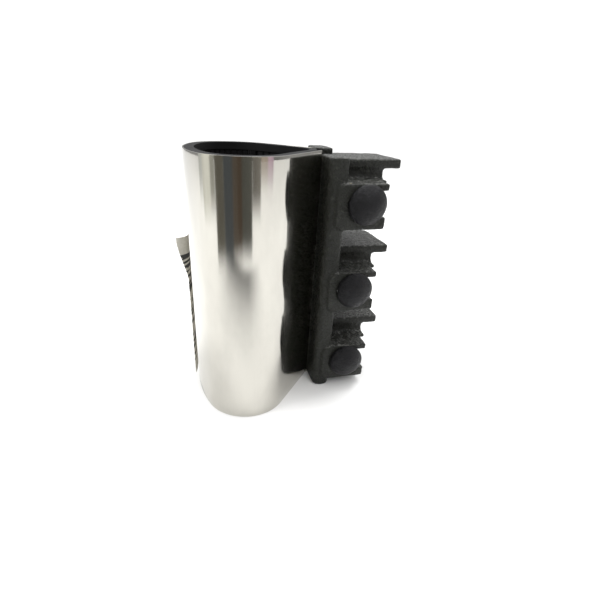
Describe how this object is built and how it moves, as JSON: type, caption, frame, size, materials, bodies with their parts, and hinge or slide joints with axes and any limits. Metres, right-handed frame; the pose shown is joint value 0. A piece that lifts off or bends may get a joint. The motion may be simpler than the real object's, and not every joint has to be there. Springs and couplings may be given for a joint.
{
  "type": "pipe repair clamp",
  "caption": "Full-circle pipe repair clamp: polished band, rubber gasket, two cast finger lugs, drop-in track-head bolts with washers and nuts.",
  "frame": {"origin": "on the axis of the seated pipe, at the lower end of the band", "axes": "+Z along the pipe, +X out from the pipe to the lugs, bolts along Y with their heads at -Y"},
  "size_m": [0.1615, 0.1276, 0.1845],
  "materials": {
    "band_steel": "mirror-rolled stainless with faint brushing along its height",
    "gasket_rubber": "matt black rubber with a fine grid on the pipe side",
    "lug_iron": "dark grey-green enamel over rough sand casting",
    "rod_steel": "drawn rod",
    "bolt_steel": "near-black oxide, satin",
    "slip_plastic": "natural nylon",
    "washer_steel": "zinc-dulled steel",
    "nut_steel": "black oxide, satin",
    "label_paper": null
  },
  "bodies": {
    "bolt_side": {"band": "band_steel", "gasket": "gasket_rubber", "bridge_plate": "band_steel", "bolt_lug": "lug_iron", "bolt_lug_rod": "rod_steel", "label": "label_paper"},
    "nut_side": {"nut_lug": "lug_iron", "nut_lug_rod": "rod_steel"},
    "bolt_1_body": {"bolt_1": "bolt_steel"},
    "washers_1": {"slip_washer_1": "slip_plastic", "washer_1": "washer_steel"},
    "nut_1_body": {"nut_1": "nut_steel"},
    "bolt_2_body": {"bolt_2": "bolt_steel"},
    "washers_2": {"slip_washer_2": "slip_plastic", "washer_2": "washer_steel"},
    "nut_2_body": {"nut_2": "nut_steel"},
    "bolt_3_body": {"bolt_3": "bolt_steel"},
    "washers_3": {"slip_washer_3": "slip_plastic", "washer_3": "washer_steel"},
    "nut_3_body": {"nut_3": "nut_steel"}
  },
  "joints": [
    {"name": "lug_draw", "type": "slide", "parent": "bolt_side", "child": "nut_side", "axis": [0, -1, 0], "range_m": [-0.006, 0.01], "deforming": ["band", "gasket", "bridge_plate"]},
    {"name": "bolt_1_lift", "type": "slide", "parent": "bolt_side", "child": "bolt_1_body", "axis": [1, 0, 0], "range_m": [0, 0.045]},
    {"name": "washers_1_advance", "type": "slide", "parent": "bolt_1_body", "child": "washers_1", "axis": [0, -1, 0], "range_m": [-0.006, 0.01]},
    {"name": "nut_1_turn", "type": "hinge", "parent": "washers_1", "child": "nut_1_body", "pos_m": [0.06893, 0.045, 0.1515], "axis": [0, -1, 0], "range_deg": [-936, 1560]},
    {"name": "bolt_2_lift", "type": "slide", "parent": "bolt_side", "child": "bolt_2_body", "axis": [1, 0, 0], "range_m": [0, 0.045]},
    {"name": "washers_2_advance", "type": "slide", "parent": "bolt_2_body", "child": "washers_2", "axis": [0, -1, 0], "range_m": [-0.006, 0.01]},
    {"name": "nut_2_turn", "type": "hinge", "parent": "washers_2", "child": "nut_2_body", "pos_m": [0.06723, 0.045, 0.088], "axis": [0, -1, 0], "range_deg": [-936, 1560]},
    {"name": "bolt_3_lift", "type": "slide", "parent": "bolt_side", "child": "bolt_3_body", "axis": [1, 0, 0], "range_m": [0, 0.045]},
    {"name": "washers_3_advance", "type": "slide", "parent": "bolt_3_body", "child": "washers_3", "axis": [0, -1, 0], "range_m": [-0.006, 0.01]},
    {"name": "nut_3_turn", "type": "hinge", "parent": "washers_3", "child": "nut_3_body", "pos_m": [0.06723, 0.045, 0.0245], "axis": [0, -1, 0], "range_deg": [-936, 1560]}
  ],
  "couplings": [
    {"joint": "washers_1_advance", "follows": "lug_draw", "ratio": 1},
    {"joint": "nut_1_turn", "follows": "lug_draw", "rad_per_m": 2721.1},
    {"joint": "washers_2_advance", "follows": "lug_draw", "ratio": 1},
    {"joint": "nut_2_turn", "follows": "lug_draw", "rad_per_m": 2721.1},
    {"joint": "washers_3_advance", "follows": "lug_draw", "ratio": 1},
    {"joint": "nut_3_turn", "follows": "lug_draw", "rad_per_m": 2721.1}
  ]
}
